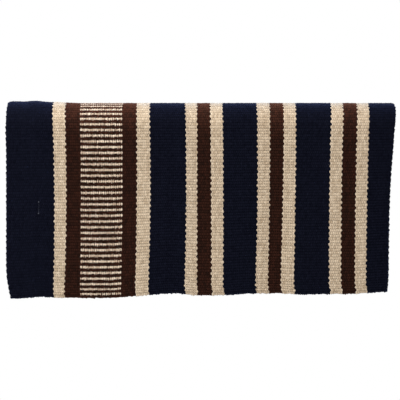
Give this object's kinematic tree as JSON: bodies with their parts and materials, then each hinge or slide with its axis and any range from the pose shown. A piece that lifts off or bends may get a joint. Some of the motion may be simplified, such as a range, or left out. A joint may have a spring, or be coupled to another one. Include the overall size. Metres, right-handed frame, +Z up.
{
  "type": "saddle blanket",
  "caption": "Striped warp-faced woven saddle blanket, hung in half over a round rail; each hanging side lifts about its fold line.",
  "frame": {"origin": "the point where the middle of the crest rests on the rail, on the underside of the cloth", "axes": "+X across the stripes, towards the right selvedge as the near side is seen; +Y from the near side to the far side; +Z up"},
  "size_m": [0.8653, 0.112, 0.4323],
  "materials": {
    "navy_yarn": "matt spun warp yarn, near-black navy",
    "tan_yarn": "matt spun warp yarn, sand",
    "brown_yarn": "matt spun warp yarn, dark chocolate",
    "ladder_yarn": "matt spun warp yarns, sand and dark chocolate end by end, which shows as bars",
    "weft_yarn": "thick matt spun weft yarn, near-black"
  },
  "bodies": {
    "crest": {"crest_stripe_01_navy": "navy_yarn", "crest_stripe_02_tan": "tan_yarn", "crest_stripe_03_brown": "brown_yarn", "crest_stripe_04_ladder": "ladder_yarn", "crest_stripe_05_brown": "brown_yarn", "crest_stripe_06_tan": "tan_yarn", "crest_stripe_07_navy": "navy_yarn", "crest_stripe_08_tan": "tan_yarn", "crest_stripe_09_brown": "brown_yarn", "crest_stripe_10_tan": "tan_yarn", "crest_stripe_11_navy": "navy_yarn", "crest_stripe_12_tan": "tan_yarn", "crest_stripe_13_brown": "brown_yarn", "crest_stripe_14_tan": "tan_yarn", "crest_stripe_15_navy": "navy_yarn", "crest_stripe_16_tan": "tan_yarn", "crest_stripe_17_brown": "brown_yarn", "crest_stripe_18_tan": "tan_yarn", "crest_stripe_19_navy": "navy_yarn", "crest_weft": "weft_yarn"},
    "near_side": {"near_stripe_01_navy": "navy_yarn", "near_stripe_02_tan": "tan_yarn", "near_stripe_03_brown": "brown_yarn", "near_stripe_04_ladder": "ladder_yarn", "near_stripe_05_brown": "brown_yarn", "near_stripe_06_tan": "tan_yarn", "near_stripe_07_navy": "navy_yarn", "near_stripe_08_tan": "tan_yarn", "near_stripe_09_brown": "brown_yarn", "near_stripe_10_tan": "tan_yarn", "near_stripe_11_navy": "navy_yarn", "near_stripe_12_tan": "tan_yarn", "near_stripe_13_brown": "brown_yarn", "near_stripe_14_tan": "tan_yarn", "near_stripe_15_navy": "navy_yarn", "near_stripe_16_tan": "tan_yarn", "near_stripe_17_brown": "brown_yarn", "near_stripe_18_tan": "tan_yarn", "near_stripe_19_navy": "navy_yarn", "near_weft": "weft_yarn"},
    "far_side": {"far_stripe_01_navy": "navy_yarn", "far_stripe_02_tan": "tan_yarn", "far_stripe_03_brown": "brown_yarn", "far_stripe_04_ladder": "ladder_yarn", "far_stripe_05_brown": "brown_yarn", "far_stripe_06_tan": "tan_yarn", "far_stripe_07_navy": "navy_yarn", "far_stripe_08_tan": "tan_yarn", "far_stripe_09_brown": "brown_yarn", "far_stripe_10_tan": "tan_yarn", "far_stripe_11_navy": "navy_yarn", "far_stripe_12_tan": "tan_yarn", "far_stripe_13_brown": "brown_yarn", "far_stripe_14_tan": "tan_yarn", "far_stripe_15_navy": "navy_yarn", "far_stripe_16_tan": "tan_yarn", "far_stripe_17_brown": "brown_yarn", "far_stripe_18_tan": "tan_yarn", "far_stripe_19_navy": "navy_yarn", "far_weft": "weft_yarn"}
  },
  "joints": [
    {"name": "near_side_lift", "type": "hinge", "parent": "crest", "child": "near_side", "pos_m": [0, -0.056, -0.047], "axis": [-1, 0, 0], "range_deg": [0, 90]},
    {"name": "far_side_lift", "type": "hinge", "parent": "crest", "child": "far_side", "pos_m": [0, 0.056, -0.047], "axis": [1, 0, 0], "range_deg": [0, 90]}
  ]
}
